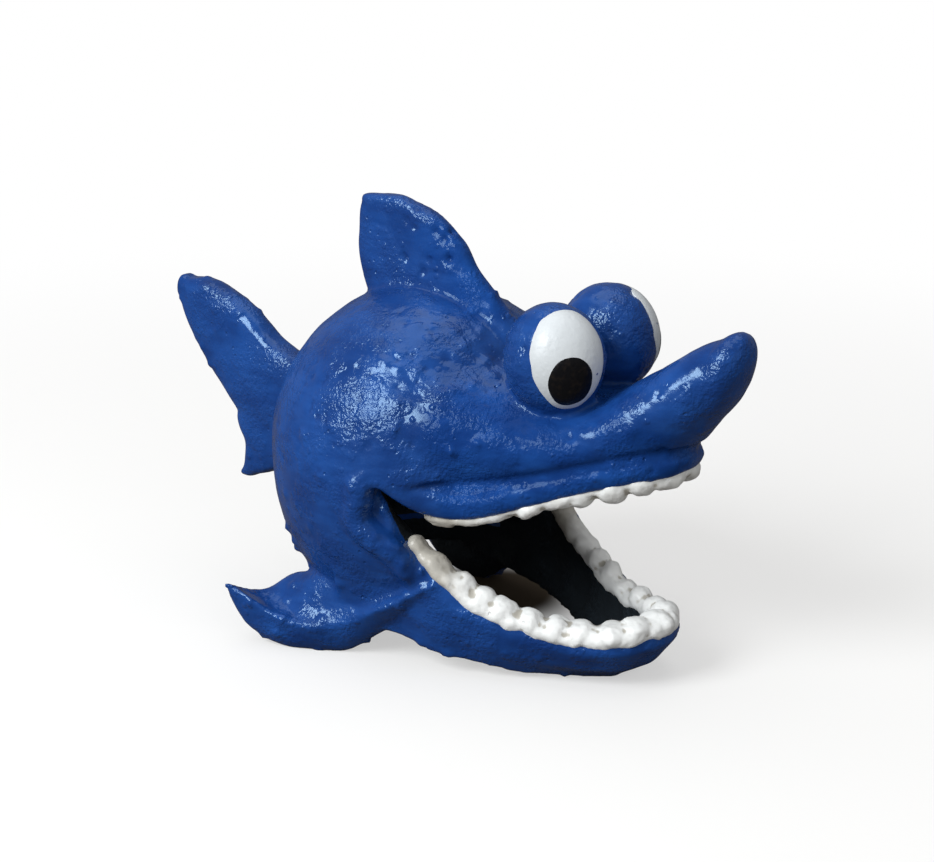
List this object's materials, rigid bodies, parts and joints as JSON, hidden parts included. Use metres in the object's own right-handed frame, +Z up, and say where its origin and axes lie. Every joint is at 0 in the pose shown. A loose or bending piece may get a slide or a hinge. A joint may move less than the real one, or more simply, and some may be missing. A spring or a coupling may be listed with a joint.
{
  "type": "shark cave aquarium ornament",
  "caption": "Hollow cast cartoon shark for an aquarium, glossy blue, with goggle eyes, an open toothed mouth to swim into and an open underside.",
  "frame": {"origin": "centre of the bounding box's base, on the surface that the casting stands on", "axes": "+Z up, the nose points along -Y, the tail along +Y, +X is the shark's left"},
  "size_m": [0.0988, 0.197, 0.1235],
  "materials": {
    "painted_resin": "thick glossy blue enamel over cast resin, with white teeth and eyes, black pupils and a black inside"
  },
  "bodies": {
    "root": {"shark_casting": "painted_resin"}
  },
  "joints": []
}
